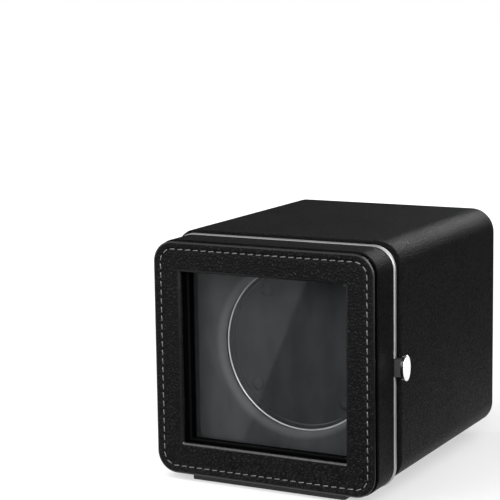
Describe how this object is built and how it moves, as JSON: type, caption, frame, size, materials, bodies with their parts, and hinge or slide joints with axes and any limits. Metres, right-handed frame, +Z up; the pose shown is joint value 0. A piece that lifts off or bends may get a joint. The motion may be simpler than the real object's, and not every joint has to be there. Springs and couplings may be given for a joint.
{
  "type": "watch winder box",
  "caption": "Leather-covered watch winder box: hinged windowed door with push-button latch, geared rotating cup behind a velvet panel, power inlet and mode knob at the back.",
  "frame": {"origin": "on the table under the middle of the box: the plinth's underside, on the door's centre plane and halfway along the depth", "axes": "+X to the right as seen from the front, +Y from the door to the back, +Z up"},
  "size_m": [0.1414, 0.165, 0.133],
  "materials": {
    "case_leather": "fine-grained black leatherette, satin",
    "door_leather": "pebbled black leatherette, satin",
    "board": "bare fibreboard",
    "black_board": "fibreboard painted matt black",
    "neck_black": "black moulded plastic, matt",
    "velvet": "dark grey flocked velvet",
    "pane": "clear polished pane",
    "rim_metal": "satin silver metal",
    "hinge_metal": "nickel plated steel",
    "screw_metal": "zinc plated steel",
    "latch_steel": "grey steel",
    "chrome": "bright chrome",
    "cup_plastic": "black moulded plastic",
    "bump_rubber": "soft black rubber",
    "spindle_steel": "ground steel",
    "gear_plastic": "white acetal",
    "bush_bronze": "sintered bronze",
    "motor_metal": "plated steel can",
    "plate_plastic": "dark grey moulded plastic",
    "circuit_board": "green solder mask",
    "component_black": "black moulded resin",
    "fitting_black": "black moulded plastic"
  },
  "bodies": {
    "case": {"case_shell": "board", "case_leather": "case_leather", "base_plinth": "black_board", "plinth_screws": "screw_metal", "front_neck": "neck_black", "inner_panel": "velvet", "hinge_case_leaf": "hinge_metal", "hinge_pin": "hinge_metal", "hinge_case_screws": "screw_metal", "latch_keeper": "latch_steel", "thrust_washer": "gear_plastic", "gear_motor": "motor_metal", "motor_screws": "screw_metal", "spindle_bush": "bush_bronze", "drive_plate": "plate_plastic", "drive_pillars": "plate_plastic", "plate_screws": "screw_metal", "back_blocks": "board", "back_board": "black_board", "back_screws": "screw_metal", "control_board": "circuit_board", "board_components": "component_black", "board_standoffs": "plate_plastic", "board_screws": "screw_metal", "power_jack": "fitting_black", "jack_nut": "screw_metal", "mode_switch": "component_black", "switch_nut": "screw_metal"},
    "door": {"door_frame": "black_board", "door_front_leather": "door_leather", "door_side_leather": "door_leather", "door_rim": "rim_metal", "window_pane": "pane", "pane_retainer": "neck_black", "hinge_door_leaf": "hinge_metal", "hinge_door_screws": "screw_metal", "latch_bracket": "latch_steel", "latch_bracket_screws": "screw_metal", "latch_spring": "latch_steel"},
    "latch": {"latch_stem": "latch_steel", "latch_button": "chrome"},
    "cup": {"rotor_cup": "cup_plastic", "cup_rim_ring": "chrome", "cup_lining": "velvet", "cup_bumps": "bump_rubber", "spindle": "spindle_steel", "spindle_clip": "spindle_steel", "cup_gear": "gear_plastic", "gear_screws": "screw_metal"},
    "drive_pinion": {"motor_pinion": "gear_plastic", "motor_shaft": "spindle_steel"},
    "mode_dial": {"mode_knob": "fitting_black"}
  },
  "joints": [
    {"name": "door_swing", "type": "hinge", "parent": "case", "child": "door", "pos_m": [-0.0686, -0.0551, 0.067], "axis": [0, 0, -1], "range_deg": [0, 110]},
    {"name": "latch_press", "type": "slide", "parent": "door", "child": "latch", "axis": [-1, 0, 0], "range_m": [0, 0.0015], "stiffness_N_per_m": 300, "springref_m": -0.002, "deforming": ["latch_spring"]},
    {"name": "cup_spin", "type": "hinge", "parent": "case", "child": "cup", "pos_m": [0, 0, 0.068], "axis": [0, 1, 0], "continuous": true},
    {"name": "pinion_spin", "type": "hinge", "parent": "case", "child": "drive_pinion", "pos_m": [0, 0, 0.032], "axis": [0, 1, 0], "continuous": true},
    {"name": "mode_turn", "type": "hinge", "parent": "case", "child": "mode_dial", "pos_m": [0.028, 0.078, 0.041], "axis": [0, 1, 0], "range_deg": [0, 270]}
  ],
  "couplings": [
    {"joint": "pinion_spin", "follows": "cup_spin", "ratio": -3}
  ]
}
